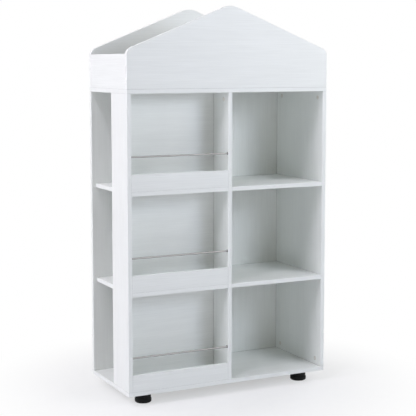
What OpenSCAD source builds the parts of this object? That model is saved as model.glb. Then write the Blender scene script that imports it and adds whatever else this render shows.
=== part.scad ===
// House shaped bookcase of white faced boards. The left column has three shallow book bays
// at the front, each with a lip board and a steel rail, and three niches open to the left
// behind them. The right column has three deep open bays. The roof is an open tray between
// two gables. The boards are held by dowels, by cams with bolts and by screws in the back.
// Millimetres. Origin on the floor at the middle of the footprint, front towards -Y, +Z up.

/* [Body] */
// Width over the side panels
body_w = 800; // [720:5:900]
// Depth over the front edges and the back panel
body_d = 350; // [320:5:420]
// Thickness of every board
board_t = 15; // [15:0.5:18]
// Clear height of each bay
bay_h = 337; // [280:1:380]

/* [Left column] */
// Clear width of the left column
left_bay_w = 375; // [300:5:440]
// Clear depth of the book bays
book_bay_d = 115; // [100:1:140]
// How far the left side panel runs on behind the partition
side_lap = 12; // [2:1:60]
// Height of the lip boards
lip_h = 60; // [45:1:100]
// Clear height between a lip board and the axis of its rail
rail_gap = 60; // [30:1:100]
// Diameter of the rails
rail_d = 6; // [4:0.5:9]

/* [Roof] */
// Height of the side rails of the roof tray
tray_h = 120; // [90:1:170]
// Height of the eave's corner above the side rails
eave_step = 15; // [5:1:40]
// Rise of the roof line from eave to ridge
ridge_rise = 160; // [100:1:240]
// Radius of the rounded eaves
eave_r = 30; // [10:1:40]
// Radius of the rounded ridge
ridge_r = 80; // [20:1:90]

/* [Feet] */
// Height of the feet
foot_h = 40; // [30:1:60]
// Diameter of the pad at the bottom of a foot
foot_pad_d = 60; // [58:1:75]
// Height of that pad
foot_pad_h = 14; // [8:1:18]
// Diameter of the neck above the pad
foot_neck_d = 56; // [40:1:58]
// Foot centres in from the sides of the body
foot_in_x = 78; // [50:1:120]
// Foot centres in from the front and back of the body
foot_in_y = 57; // [45:1:80]

/* [Fasteners] */
// Diameter of the dowels
dowel_d = 8; // [6:0.5:8]
// Length of the dowels
dowel_l = 30; // [25:1:35]
// Diameter of the cams
cam_d = 15; // [14:0.5:16]
// Distance from a joint to the centre of its cam
cam_reach = 24; // [22:0.5:30]
// Distance of the cams from the front or back edge of a board
cam_in = 37; // [30:1:40]
// Diameter of the screws in the back panel
screw_d = 4; // [3.5:0.1:5]
// Length of the screws in the back panel
screw_l = 40; // [30:1:45]

/* [Hidden] */
$fn = 48;

// Clearances
fit_gap = 0.1; // round the dowels, cams, sockets and screws
end_gap = 0.5; // past the end of a fastener in its bore
cut_over = 1; // how far a cutter stands out of the face it cuts

// Outer faces and levels of the body
bays = 3;
left_x = -body_w / 2;
right_x = body_w / 2;
front_y = -body_d / 2;
rear_y = body_d / 2;
floor_top = foot_h + board_t;
top_under = floor_top + bays * bay_h + (bays - 1) * board_t;
roof_z = top_under + board_t;
eave_h = tray_h + eave_step;

// Inner faces
left_in = left_x + board_t;
right_in = right_x - board_t;
back_in = rear_y - board_t;
divider_l = left_in + left_bay_w;
divider_r = divider_l + board_t;
partition_f = front_y + book_bay_d;
partition_b = partition_f + board_t;
side_end = partition_b + side_lap;

// Underside of shelf 1 or 2, and the face that lip and rail 0, 1 or 2 stand over
function shelf_z(i) = floor_top + i * bay_h + (i - 1) * board_t;
function bay_floor(i) = floor_top + i * (bay_h + board_t);
function bay_mid(i) = bay_floor(i) + bay_h / 2;

// Every flat board as its lowest and highest corner
bottom_b = [[left_x, front_y, foot_h], [right_x, rear_y, floor_top]];
top_b = [[left_x, front_y, top_under], [right_x, rear_y, roof_z]];
left_b = [[left_x, front_y, floor_top], [left_in, side_end, top_under]];
divider_b = [[divider_l, front_y, floor_top], [divider_r, back_in, top_under]];
right_b = [[right_in, front_y, floor_top], [right_x, back_in, top_under]];
back_b = [[left_x, back_in, floor_top], [right_x, rear_y, top_under]];
partition_box = [[left_in, partition_f, floor_top], [divider_l, partition_b, top_under]];
function book_shelf_b(i) =
    [[left_in, front_y, shelf_z(i)], [divider_l, partition_f, shelf_z(i) + board_t]];
function side_shelf_b(i) =
    [[left_in, partition_b, shelf_z(i)], [divider_l, back_in, shelf_z(i) + board_t]];
function cube_shelf_b(i) =
    [[divider_r, front_y, shelf_z(i)], [right_in, back_in, shelf_z(i) + board_t]];
function lip_b(i) =
    [[left_in, front_y, bay_floor(i)], [divider_l, front_y + board_t, bay_floor(i) + lip_h]];
front_gable_b = [[left_x, front_y, roof_z], [right_x, front_y + board_t, roof_z + eave_h]];
back_gable_b = [[left_x, back_in, roof_z], [right_x, rear_y, roof_z + eave_h]];
left_rail_b = [[left_x, front_y + board_t, roof_z], [left_in, back_in, roof_z + tray_h]];
right_rail_b = [[right_in, front_y + board_t, roof_z], [right_x, back_in, roof_z + tray_h]];

// Directions
X = [1, 0, 0];
Y = [0, 1, 0];
Z = [0, 0, 1];

// Lines that the fasteners follow
mid_t = board_t / 2;
front_line = front_y + cam_in;
rear_line = back_in - cam_in;
side_cam_line = partition_f - 12;
book_dowel_line = partition_f - 28;
side_dowel_line = partition_b + cam_in;
cube_dowel_front = partition_f + mid_t;
cube_dowel_rear = rear_line - 40;
divider_mid = divider_l + mid_t;
divider_cam_z = [floor_top, top_under];

// Cams: [point on the joint, way into the board with the cam, way out of the cam's face]
upright_cams = [
    for (end = [0, 1])
        let (z = divider_cam_z[end], d = end == 0 ? Z : -Z)
        each [
            [[left_x + mid_t, front_line, z], d, X],
            [[left_x + mid_t, side_cam_line, z], d, X],
            [[divider_mid, front_line, z], d, -X],
            [[divider_mid, rear_line, z], d, -X],
            [[right_x - mid_t, front_line, z], d, -X],
            [[right_x - mid_t, rear_line, z], d, -X]
        ]
];
shelf_cams = [
    for (i = [1, 2])
        let (z = shelf_z(i) + mid_t)
        each [
            [[left_in, front_line, z], X, -Z],
            [[right_in, front_line, z], -X, -Z],
            [[right_in, rear_line, z], -X, -Z]
        ]
];
gable_cam_x = [-0.3875, -0.1375, 0.1375, 0.3875] * body_w;
roof_cams = [
    for (x = gable_cam_x)
        each [
            [[x, front_y + mid_t, roof_z], Z, Y],
            [[x, rear_y - mid_t, roof_z], Z, -Y]
        ],
    for (s = [-1, 1])
        let (x = s * (right_x - mid_t), z = roof_z + tray_h / 2)
        each [
            [[x, front_y + board_t, z], Y, -s * X],
            [[x, back_in, z], -Y, -s * X]
        ]
];
bolted_cams = concat(upright_cams, shelf_cams, roof_cams);

// Bolts through the divider, with a cam at each end: point on the divider's middle plane
divider_bolt_points = [
    for (i = [1, 2])
        for (y = [front_line, rear_line])
            [divider_mid, y, shelf_z(i) + mid_t]
];
divider_cams = [
    for (p = divider_bolt_points)
        for (s = [-1, 1])
            [p + s * mid_t * X, s * X, -Z]
];
all_cams = concat(bolted_cams, divider_cams);

// Dowels: [point on the joint, way into the edge of the board with the long end]
shelf_dowels = [
    for (i = [1, 2])
        let (z = shelf_z(i) + mid_t)
        each [
            [[left_in, book_dowel_line, z], X],
            [[divider_l, book_dowel_line, z], -X],
            [[divider_l, side_dowel_line, z], -X],
            [[divider_r, cube_dowel_front, z], X],
            [[divider_r, cube_dowel_rear, z], X],
            [[right_in, cube_dowel_front, z], -X],
            [[right_in, cube_dowel_rear, z], -X],
            [[left_in + left_bay_w / 4, partition_f, z], -Y],
            [[divider_l - left_bay_w / 4, partition_f, z], -Y],
            [[left_in + left_bay_w / 8, partition_b, z], Y],
            [[divider_l - left_bay_w / 8, partition_b, z], Y]
        ]
];
upright_dowel_step = 64;
back_dowel_x = [-0.325, -0.07, 0.07, 0.325] * body_w;
upright_dowels = [
    for (end = [0, 1])
        let (z = divider_cam_z[end], d = end == 0 ? Z : -Z)
        each [
            [[left_x + mid_t, (front_line + side_cam_line) / 2, z], d],
            [[divider_mid, front_line + upright_dowel_step, z], d],
            [[divider_mid, rear_line - upright_dowel_step, z], d],
            [[right_x - mid_t, front_line + upright_dowel_step, z], d],
            [[right_x - mid_t, rear_line - upright_dowel_step, z], d],
            [[left_in + left_bay_w / 4, partition_f + mid_t, z], d],
            [[divider_l - left_bay_w / 4, partition_f + mid_t, z], d],
            for (x = back_dowel_x)
                [[x, back_in + mid_t, z], d]
        ]
];
bay_dowels = [
    for (i = [0 : bays - 1])
        let (z = bay_floor(i), y = front_y + mid_t)
        each [
            [[left_in, partition_f + mid_t, bay_mid(i)], X],
            [[divider_l, partition_f + mid_t, bay_mid(i)], -X],
            [[left_in, y, z + lip_h / 2], X],
            [[divider_l, y, z + lip_h / 2], -X],
            [[left_in + left_bay_w / 4, y, z], Z],
            [[divider_l - left_bay_w / 4, y, z], Z]
        ]
];
gable_dowel_x = [-0.45, -0.2625, 0, 0.2625, 0.45] * body_w;
rail_dowel_y = 25;
rail_dowel_z = 30;
roof_dowels = [
    for (x = gable_dowel_x)
        each [
            [[x, front_y + mid_t, roof_z], Z],
            [[x, rear_y - mid_t, roof_z], Z]
        ],
    for (s = [-1, 1])
        let (x = s * (right_x - mid_t), z = roof_z + rail_dowel_z)
        each [
            [[x, -rail_dowel_y, roof_z], Z],
            [[x, rail_dowel_y, roof_z], Z],
            [[x, front_y + board_t, z], Y],
            [[x, back_in, z], -Y]
        ]
];
all_dowels = concat(shelf_dowels, upright_dowels, bay_dowels, roof_dowels);

// Screws through the back panel into the boards in front of it
back_screw_points = [
    for (x = [divider_mid, right_x - mid_t])
        for (i = [0 : bays - 1])
            [x, rear_y, bay_mid(i)],
    for (i = [1, 2])
        for (x = [left_in + left_bay_w / 4, divider_l - left_bay_w / 4,
                  divider_r + 95, right_in - 95])
            [x, rear_y, shelf_z(i) + mid_t]
];

// Sizes of the fasteners
dowel_face = 0.6 * board_t;
dowel_edge = dowel_l - dowel_face;
cam_floor = 3;
cam_h = board_t - cam_floor;
cam_slot_w = 1.6;
cam_slot_l = 9;
cam_slot_h = 2;
bolt_thread_d = 6;
bolt_thread_l = 10;
bolt_shank_d = 5;
bolt_bore_d = 7;
bolt_head_d = 6.4;
bolt_head_h = 3;
screw_head_d = 2 * screw_d;
screw_head_h = 3;
screw_slot_h = 1.4;

// Rails and their sockets
rail_z = lip_h + rail_gap;
rail_y = front_y + mid_t;
socket_flange_d = rail_d + 3.5;
socket_flange_h = 1.5;
socket_d = rail_d + 2;
socket_l = 8;

// Feet
foot_pad_r = 6;
foot_groove = 2;
foot_cup_d = 16;
foot_cup_h = 20;
foot_screw_d = 5;
foot_screw_in = 12;
foot_head_d = 10;
foot_head_h = 3.5;

// Points +Z of a piece along the row axis d and moves it to p
module along(p, d)
    translate(p)
        rotate([-90 * d[1], 90 * d[0], 0] + (d[2] < 0 ? [180, 0, 0] : [0, 0, 0]))
            children();

// True if p lies in the box b
function inside(p, b) =
    min([for (k = [0 : 2]) min(p[k] - b[0][k], b[1][k] - p[k])]) > 0;
function in_edge(h, b) = inside(h[0] + 2 * h[1], b);
function in_face(h, b) = inside(h[0] - 2 * h[1], b);

// Round cutter from z = a to z = b
module bore(d, a, b)
    translate([0, 0, a])
        cylinder(d = d + 2 * fit_gap, h = b - a);

// Everything drilled into the board with box b
module bores(b) {
    for (h = all_dowels) {
        if (in_edge(h, b))
            along(h[0], h[1])
                bore(dowel_d, -cut_over, dowel_edge + end_gap);
        if (in_face(h, b))
            along(h[0], h[1])
                bore(dowel_d, -dowel_face - end_gap, cut_over);
    }
    for (h = all_cams)
        if (in_edge(h, b)) {
            along(h[0], h[1])
                bore(bolt_bore_d, -cut_over, cam_reach);
            along(h[0] + cam_reach * h[1] + mid_t * h[2], -h[2])
                bore(cam_d, -cut_over, cam_h + fit_gap);
        }
    for (h = bolted_cams)
        if (in_face(h, b))
            along(h[0], h[1])
                bore(bolt_thread_d, -bolt_thread_l - end_gap, cut_over);
    for (p = divider_bolt_points)
        if (inside(p, b))
            along(p - (mid_t + cut_over) * X, X)
                bore(bolt_bore_d, 0, board_t + 2 * cut_over);
    for (p = back_screw_points)
        if (inside(p - 2 * Y, b) || inside(p - (board_t + 2) * Y, b))
            back_screw_bore(p);
    for (i = [0 : bays - 1])
        for (h = socket_ends(i))
            if (inside(h[0] - h[1], b))
                along(h[0], -h[1])
                    bore(socket_d, -cut_over, socket_l + end_gap);
    for (p = foot_points)
        if (inside([p[0], p[1], foot_h + 1], b))
            translate(p)
                bore(foot_screw_d, foot_h - cut_over, foot_h + foot_screw_in + end_gap);
}

module back_screw_bore(p)
    along(p, -Y) {
        bore(screw_d, -cut_over, screw_l + end_gap);
        bore(screw_head_d, -cut_over, 0);
        cylinder(d1 = screw_head_d + 2 * fit_gap, d2 = screw_d + 2 * fit_gap, h = screw_head_h);
    }

// A flat board with its bores
module board(b)
    color("whitesmoke")
        difference() {
            translate(b[0])
                cube(b[1] - b[0]);
            bores(b);
        }

// A gable: a wall with a roof line, its eaves and ridge rounded. The arcs meet the straight
// edges at blend_a, too small an angle to see.
slope = atan2(ridge_rise, body_w / 2);
blend_a = 4;
ridge_in = ridge_r * cos(blend_a);
eave_in = eave_r * cos(blend_a);
ridge_c = [0, eave_h + ridge_rise - ridge_in / cos(slope)];
eave_c = [right_x - eave_in, eave_h - eave_in * tan((90 - slope) / 2)];

module gable(y, b)
    color("whitesmoke")
        difference() {
            translate([0, y + board_t, roof_z])
                rotate([90, 0, 0])
                    linear_extrude(board_t)
                        gable_outline();
            bores(b);
        }

module gable_outline()
    difference() {
        polygon([
            [left_x, 0], [right_x, 0], [right_x, eave_h],
            [0, eave_h + ridge_rise], [left_x, eave_h]
        ]);
        rounding(eave_c, eave_r, 0, 90 - slope);
        mirror([1, 0])
            rounding(eave_c, eave_r, 0, 90 - slope);
        rounding(ridge_c, ridge_r, 90 - slope, 90 + slope);
    }

// What rounding off takes away between the directions a and b from the arc's centre c
module rounding(c, r, a, b)
    difference() {
        polygon([c, around(c, 2 * r, a), around(c, 2 * r, (a + b) / 2), around(c, 2 * r, b)]);
        translate(c)
            circle(r, $fn = 192);
    }

function around(c, r, a) = c + r * [cos(a), sin(a)];

// Where the sockets of rail i sit: [point on the panel's face, way into the bay]
function socket_ends(i) =
    let (z = bay_floor(i) + rail_z)
    [[[left_in, rail_y, z], X], [[divider_l, rail_y, z], -X]];

module book_rail(i)
    color("silver")
        along([left_in - socket_l, rail_y, bay_floor(i) + rail_z], X)
            cylinder(d = rail_d, h = left_bay_w + 2 * socket_l);

module rail_sockets()
    color("#18181a")
        for (i = [0 : bays - 1])
            for (h = socket_ends(i))
                along(h[0], h[1])
                    difference() {
                        union() {
                            cylinder(d = socket_flange_d, h = socket_flange_h);
                            translate([0, 0, -socket_l])
                                cylinder(d = socket_d, h = socket_l + cut_over);
                        }
                        bore(rail_d, -socket_l - cut_over, socket_flange_h + cut_over);
                    }

// Feet
foot_points = [
    for (sy = [-1, 1])
        for (sx = [-1, 1])
            [sx * (right_x - foot_in_x), sy * (rear_y - foot_in_y), 0]
];

// Half of the section of a foot: pad with a rounded lower edge, groove, neck
module foot_profile() {
    difference() {
        square([foot_pad_d / 2, foot_pad_h]);
        translate([foot_pad_d / 2 - foot_pad_r, 0])
            difference() {
                translate([0, -cut_over])
                    square([foot_pad_r + cut_over, foot_pad_r + cut_over]);
                translate([0, foot_pad_r])
                    circle(foot_pad_r);
            }
    }
    square([foot_neck_d / 2 - foot_groove, foot_h]);
    translate([0, foot_pad_h + foot_groove])
        square([foot_neck_d / 2, foot_h - foot_pad_h - foot_groove]);
}

module foot(p)
    color("#1a1a1c")
        translate(p)
            difference() {
                rotate_extrude($fn = 96)
                    foot_profile();
                bore(foot_cup_d, -cut_over, foot_cup_h);
                bore(foot_screw_d, 0, foot_h + cut_over);
            }

module foot_screws()
    color("silver")
        for (p = foot_points)
            translate(p + [0, 0, foot_cup_h])
                difference() {
                    union() {
                        translate([0, 0, -foot_head_h])
                            cylinder(d = foot_head_d, h = foot_head_h);
                        cylinder(d = foot_screw_d, h = foot_h - foot_cup_h + foot_screw_in);
                    }
                    cross_slot(foot_head_d * 0.6, 1.2, -foot_head_h, 2);
                }

// Cross recess of arm length l and width w, cut into the face at z, h deep towards +Z
module cross_slot(l, w, z, h)
    for (a = [0, 90])
        rotate([0, 0, a])
            translate([-l / 2, -w / 2, z - cut_over])
                cube([l, w, h + cut_over]);

module cam_locks()
    color("lightgrey")
        for (h = all_cams)
            difference() {
                along(h[0] + cam_reach * h[1] + mid_t * h[2], -h[2])
                    difference() {
                        cylinder(d = cam_d, h = cam_h);
                        cross_slot(cam_slot_l, cam_slot_w, 0, cam_slot_h);
                    }
                along(h[0], h[1])
                    bore(bolt_head_d, 0, cam_reach + bolt_head_h / 2);
            }

module cam_bolts()
    color("silver")
        for (h = bolted_cams)
            along(h[0], h[1]) {
                translate([0, 0, -bolt_thread_l])
                    cylinder(d = bolt_thread_d, h = bolt_thread_l);
                cylinder(d = bolt_shank_d, h = cam_reach);
                translate([0, 0, cam_reach - bolt_head_h / 2])
                    cylinder(d = bolt_head_d, h = bolt_head_h);
            }

module divider_bolts()
    color("silver")
        for (p = divider_bolt_points)
            along(p, X) {
                reach = mid_t + cam_reach;
                translate([0, 0, -mid_t])
                    cylinder(d = bolt_bore_d, h = board_t);
                translate([0, 0, -reach])
                    cylinder(d = bolt_shank_d, h = 2 * reach);
                for (s = [-1, 1])
                    translate([0, 0, s * reach - bolt_head_h / 2])
                        cylinder(d = bolt_head_d, h = bolt_head_h);
            }

module dowels()
    color("burlywood")
        for (h = all_dowels)
            along(h[0] - dowel_face * h[1], h[1])
                cylinder(d = dowel_d, h = dowel_l);

module back_screws()
    color("silver")
        for (p = back_screw_points)
            along(p, -Y)
                difference() {
                    union() {
                        cylinder(d1 = screw_head_d, d2 = screw_d, h = screw_head_h);
                        cylinder(d = screw_d, h = screw_l);
                    }
                    cross_slot(screw_d * 1.2, 0.9, 0, screw_slot_h);
                }

module bottom_board() board(bottom_b);
module top_board() board(top_b);
module left_side_panel() board(left_b);
module middle_divider() board(divider_b);
module right_side_panel() board(right_b);
module back_panel() board(back_b);
module book_partition() board(partition_box);
module book_shelf(i) board(book_shelf_b(i));
module side_shelf(i) board(side_shelf_b(i));
module cube_shelf(i) board(cube_shelf_b(i));
module book_lip(i) board(lip_b(i));
module front_gable() gable(front_y, front_gable_b);
module back_gable() gable(back_in, back_gable_b);
module roof_left_rail() board(left_rail_b);
module roof_right_rail() board(right_rail_b);

bottom_board();
top_board();
left_side_panel();
middle_divider();
right_side_panel();
back_panel();
book_partition();
book_shelf(1);  // book_shelf_lower
book_shelf(2);  // book_shelf_upper
side_shelf(1);  // side_shelf_lower
side_shelf(2);  // side_shelf_upper
cube_shelf(1);  // cube_shelf_lower
cube_shelf(2);  // cube_shelf_upper
book_lip(0);  // book_lip_lower
book_lip(1);  // book_lip_middle
book_lip(2);  // book_lip_upper
book_rail(0);  // book_rail_lower
book_rail(1);  // book_rail_middle
book_rail(2);  // book_rail_upper
rail_sockets();
front_gable();
back_gable();
roof_left_rail();
roof_right_rail();
foot(foot_points[0]);  // front_left_foot
foot(foot_points[1]);  // front_right_foot
foot(foot_points[2]);  // back_left_foot
foot(foot_points[3]);  // back_right_foot
foot_screws();
cam_locks();
cam_bolts();
divider_bolts();
dowels();
back_screws();
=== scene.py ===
# %% [markdown]
# # A house shaped bookcase
# The bookcase is flat-pack furniture: boards of white melamine, joined by cams, dowels and
# screws, on four black feet. The measured solids of every piece come in as a fixed frame.
# This file gives them their looks: rounded board edges, finishes, lamps and a camera.
# Everything is in metres, +Z is up and the front looks towards -Y.

import math

import bmesh
import bpy
from mathutils import Euler, Matrix, Vector


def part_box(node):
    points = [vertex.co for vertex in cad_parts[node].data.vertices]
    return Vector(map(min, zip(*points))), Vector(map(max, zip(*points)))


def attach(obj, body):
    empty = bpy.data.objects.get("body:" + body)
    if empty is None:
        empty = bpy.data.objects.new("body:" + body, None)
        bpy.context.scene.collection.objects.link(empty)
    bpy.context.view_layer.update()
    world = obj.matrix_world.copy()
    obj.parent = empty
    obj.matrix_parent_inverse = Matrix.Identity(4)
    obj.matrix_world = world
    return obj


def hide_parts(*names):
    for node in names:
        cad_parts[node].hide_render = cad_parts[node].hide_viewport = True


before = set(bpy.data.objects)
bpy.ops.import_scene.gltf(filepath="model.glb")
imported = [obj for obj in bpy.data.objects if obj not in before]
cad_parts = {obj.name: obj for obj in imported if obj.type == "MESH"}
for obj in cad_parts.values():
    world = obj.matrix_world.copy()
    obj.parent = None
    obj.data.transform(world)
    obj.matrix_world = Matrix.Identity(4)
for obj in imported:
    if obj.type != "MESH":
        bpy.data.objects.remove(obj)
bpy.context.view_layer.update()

# %% [markdown]
# ## Helpers for colours and nodes
# Colours are written as on a colour card, in sRGB hex. Shaders work in linear light, so one
# function turns them, with the numbers of the sRGB standard. One more helper adds a node to
# any tree: `settings` are its own properties, and `inputs` are values or links for its
# sockets.

# %% Helpers for colours and nodes
MM = 0.001
GRAY_LEVELS = 255


def linear(hex_colour):
    """'#rrggbb' as linear RGB with alpha."""
    parts = [int(hex_colour[i : i + 2], 16) / GRAY_LEVELS for i in (1, 3, 5)]
    return [c / 12.92 if c <= 0.04045 else ((c + 0.055) / 1.055) ** 2.4 for c in parts] + [1.0]


def add(tree, kind, settings=None, inputs=None):
    """Adds a node, sets its properties and fills or links its sockets."""
    node = tree.nodes.new(kind)
    for name, value in (settings or {}).items():
        setattr(node, name, value)
    for name, value in (inputs or {}).items():
        if isinstance(value, bpy.types.NodeSocket):
            tree.links.new(value, node.inputs[name])
        else:
            node.inputs[name].default_value = value
    return node


def new_material(name, **principled):
    """A material with one Principled shader. Returns it with its tree and its shader."""
    made = bpy.data.materials.new(name)
    made.use_nodes = True
    tree = made.node_tree
    tree.nodes.clear()
    shader = add(tree, "ShaderNodeBsdfPrincipled")
    for socket, value in principled.items():
        shader.inputs[socket.replace("_", " ")].default_value = value
    output = add(tree, "ShaderNodeOutputMaterial")
    tree.links.new(shader.outputs["BSDF"], output.inputs["Surface"])
    return made, tree, shader


print("Middle grey in linear light:", [round(c, 3) for c in linear("#808080")])

# %% [markdown]
# ## A stretched noise, and what it does to a surface
# Wood grain, brush marks and moulding texture are all noise, seen at a real size and
# stretched along one direction. Noise has features about one unit wide, so a Mapping node
# that divides the place by the feature's length and width in metres draws them at that size.
# The middle of such a noise is then spread over two tones, over two values of roughness, and
# over a height that raises the surface.

# %% A noise drawn at a real size
TURNS = {"X": (0, 0, 0), "Y": (0, 0, math.pi / 2), "Z": (0, math.pi / 2, 0)}
NOISE_LOW, NOISE_HIGH = 0.35, 0.65


def streaks(tree, along, length, width, detail=3.0):
    """Noise with features of that length along the axis and that width across it."""
    place = add(tree, "ShaderNodeTexCoord").outputs["Object"]
    turned = add(
        tree, "ShaderNodeMapping", inputs={"Vector": place, "Rotation": Euler(TURNS[along])}
    )
    inputs = {"Vector": turned.outputs["Vector"], "Scale": (1 / length, 1 / width, 1 / width)}
    sized = add(tree, "ShaderNodeMapping", inputs=inputs)
    inputs = {"Vector": sized.outputs["Vector"], "Scale": 1.0, "Detail": detail}
    return add(tree, "ShaderNodeTexNoise", inputs=inputs).outputs["Fac"]


def tones(tree, pattern, first, second, start=NOISE_LOW, end=NOISE_HIGH, most=1.0):
    """A colour from first to second as a pattern goes from start to end. `most` is the share
    of the second colour at the end. A colour is a hex value or the result of other tones."""
    spread = {"Value": pattern, "From Min": start, "From Max": end, "To Max": most}
    part = add(tree, "ShaderNodeMapRange", inputs=spread)
    colours = [linear(c) if isinstance(c, str) else c for c in (first, second)]
    # The Mix node has sockets for each type of data. These are the ones for colours.
    factor_in, first_in, second_in, colour_out = 0, 6, 7, 2
    values = {factor_in: part.outputs["Result"], first_in: colours[0], second_in: colours[1]}
    return add(tree, "ShaderNodeMix", {"data_type": "RGBA"}, values).outputs[colour_out]


def surface(tree, shader, colour, height, depth, strength=1.0, gloss=None, roughness=None):
    """Gives a shader its colour, bumps of that depth in metres, and if a gloss pattern is
    given, a roughness that goes from one value to another with the middle of that pattern."""
    tree.links.new(colour, shader.inputs["Base Color"])
    bump = add(
        tree, "ShaderNodeBump", inputs={"Height": height, "Distance": depth, "Strength": strength}
    )
    tree.links.new(bump.outputs["Normal"], shader.inputs["Normal"])
    if gloss:
        spread = {"From Min": NOISE_LOW, "From Max": NOISE_HIGH, "Value": gloss}
        spread["To Min"], spread["To Max"] = roughness
        rough = add(tree, "ShaderNodeMapRange", inputs=spread)
        tree.links.new(rough.outputs["Result"], shader.inputs["Roughness"])


print("A noise can run along:", list(TURNS))

# %% [markdown]
# ## Melamine with a wood grain
# The boards are particle board with a white melamine face. The press plate leaves fine pores
# in it, long along the grain and less than a millimetre wide, so the face is satin with soft
# streaks. The pores are drawn wider than real ones, because the camera would lose them. A
# second, broad noise gives the slow changes of tone of a large board. The grain runs along
# each board, so there is one material for each direction.
#
# Where two boards meet, their rounded edges leave a fine groove, which shows as a thin grey
# line. That line is painted shade with a little dust. The Ambient Occlusion node finds the
# groove: it is 1 on an open face, about a half in an inner corner and near 0 at the bottom
# of a groove, and there the colour is darkened towards a shade tone. The edge band, whose
# radii form the groove, darkens sooner than the face does. So the joints show, and the inner
# corners of the bays stay light.

# %% Melamine faces
PORE_LENGTH, PORE_WIDTH = 120 * MM, 1.8 * MM
FIGURE_LENGTH, FIGURE_WIDTH = 500 * MM, 22 * MM
PORE_DEPTH = 0.1 * MM
PRESSED_ROUGHNESS = (0.38, 0.52)
JOINT_REACH = 1.6 * MM
JOINT_SAMPLES = 8
# Painted shade: the dark grey that the colour goes to in the grooves between boards.
JOINT_SHADE_TONE = "#3c4042"
FACE_OPENING = (0.1, 0.7)
EDGE_OPENING = (0.45, 1.0)


def with_joint_shade(tree, colour, closed, opened):
    """The colour with painted shade in joints: full up to the openness `closed`, none from
    `opened`.
    """
    settings, inputs = {"samples": JOINT_SAMPLES}, {"Distance": JOINT_REACH}
    near = add(tree, "ShaderNodeAmbientOcclusion", settings, inputs).outputs["AO"]
    return tones(tree, near, JOINT_SHADE_TONE, colour, start=closed, end=opened)


def melamine_face(grain):
    # Pressed melamine is satin, and its pores break the light into fine streaks.
    made, tree, shader = new_material("melamine_grain_" + grain.lower(), IOR=1.5)
    pores = streaks(tree, grain, PORE_LENGTH, PORE_WIDTH, detail=4.0)
    figure = streaks(tree, grain, FIGURE_LENGTH, FIGURE_WIDTH)
    white = tones(tree, figure, "#f7faf7", "#f4f7f4")
    toned = tones(tree, pores, white, "#eaedea", most=0.5)
    # Painted shade, with a little dust, darkens the grooves where boards meet.
    joint_shaded = with_joint_shade(tree, toned, *FACE_OPENING)
    surface(tree, shader, joint_shaded, pores, PORE_DEPTH, 0.5, gloss=pores, roughness=PRESSED_ROUGHNESS)
    return made


FACES = {axis: melamine_face(axis) for axis in "XYZ"}
print("Melamine faces:", [m.name for m in FACES.values()])

# %% [markdown]
# ## Edge band and core
# A strip of white ABS closes the cut edges of a board. It has no pores, so it is smoother
# and a little brighter than the face. Inside the drilled pockets the core shows: brown wood
# chips in glue, made here with Voronoi cells as wide as a chip.

# %% Edge band and chipboard core
RIPPLE_SIZE = 30 * MM
SCRAPE_SIZE, SCRAPE_DEPTH = 4 * MM, 0.02 * MM
SCRAPED_ROUGHNESS = (0.26, 0.34)
CHIP_SIZE, CHIP_DEPTH = 2 * MM, 0.3 * MM


def edge_band():
    # Scraped plastic band has no pores, so it draws a clean bright line round each board.
    made, tree, shader = new_material("edge_band_abs", IOR=1.5)
    ripple = streaks(tree, "Z", RIPPLE_SIZE, RIPPLE_SIZE)
    scrapes = streaks(tree, "Z", SCRAPE_SIZE, SCRAPE_SIZE)
    # The band's radii form the grooves, and painted shade darkens them.
    tone = with_joint_shade(tree, tones(tree, ripple, "#fafcfa", "#f6f9f6"), *EDGE_OPENING)
    surface(
        tree, shader, tone, scrapes, SCRAPE_DEPTH, 0.5, gloss=ripple, roughness=SCRAPED_ROUGHNESS
    )
    return made


def chipboard_core():
    # Drilled particle board is dull and brown, and shows only inside the cam pockets.
    made, tree, shader = new_material("chipboard_core", Roughness=0.9)
    place = add(tree, "ShaderNodeTexCoord").outputs["Object"]
    chip = add(tree, "ShaderNodeTexVoronoi", inputs={"Vector": place, "Scale": 1 / CHIP_SIZE})
    away = chip.outputs["Distance"]
    surface(tree, shader, tones(tree, away, "#b08d62", "#8a6a45", 0.0, 1.0), away, CHIP_DEPTH)
    return made


EDGE, CORE = edge_band(), chipboard_core()
print("Edges:", EDGE.name, "and", CORE.name)

# %% [markdown]
# ## Metals
# The rails are drawn steel rod with a satin nickel plating, with faint lines along it and no
# sharp highlight. Its grey is kept darker than real nickel: a painted reflection of a dark
# studio round the rod. The cams are die cast in zinc and tumbled, so they are pale, dull and
# mottled. Bolts and screws have a thin bright zinc plating, which glints on every turn of a
# thread. All metals keep the shader's own index of refraction. The drawing lines and plating
# marks are drawn coarser than real ones, so that they show.

# %% Metals
MARK_DEPTH = 0.02 * MM


def metal(name, light, dark, along, length, width, roughness):
    """A metal whose tone and roughness follow marks of that length and width."""
    made, tree, shader = new_material(name, Metallic=1.0)
    marks = streaks(tree, along, length, width)
    tone = tones(tree, marks, light, dark)
    surface(tree, shader, tone, marks, MARK_DEPTH, 0.4, gloss=marks, roughness=roughness)
    return made


# Plating over a drawn rod keeps its long lines, so the light runs along it as a soft band.
# Painted reflection: the grey is darker than real nickel, for the dark studio that the rod
# mirrors.
NICKEL = metal(
    "satin_nickel_rod", "#969492", "#8b8987", "X", 200 * MM, 0.4 * MM, roughness=(0.35, 0.41)
)
# Tumbling breaks the skin of the casting into even spots: a pale disc without a highlight.
ZINC_CAST = metal(
    "die_cast_zinc", "#f4f2ed", "#e6e4de", "Z", 1.6 * MM, 1.6 * MM, roughness=(0.5, 0.7)
)
# Thin bright plating follows the rolled thread, so each ring has its own small glint.
ZINC_PLATE = metal(
    "zinc_plated_steel", "#cfd0cd", "#b3b5b2", "Y", 3 * MM, 0.7 * MM, roughness=(0.22, 0.36)
)
print("Metals:", NICKEL.name, ZINC_CAST.name, ZINC_PLATE.name)

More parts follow.
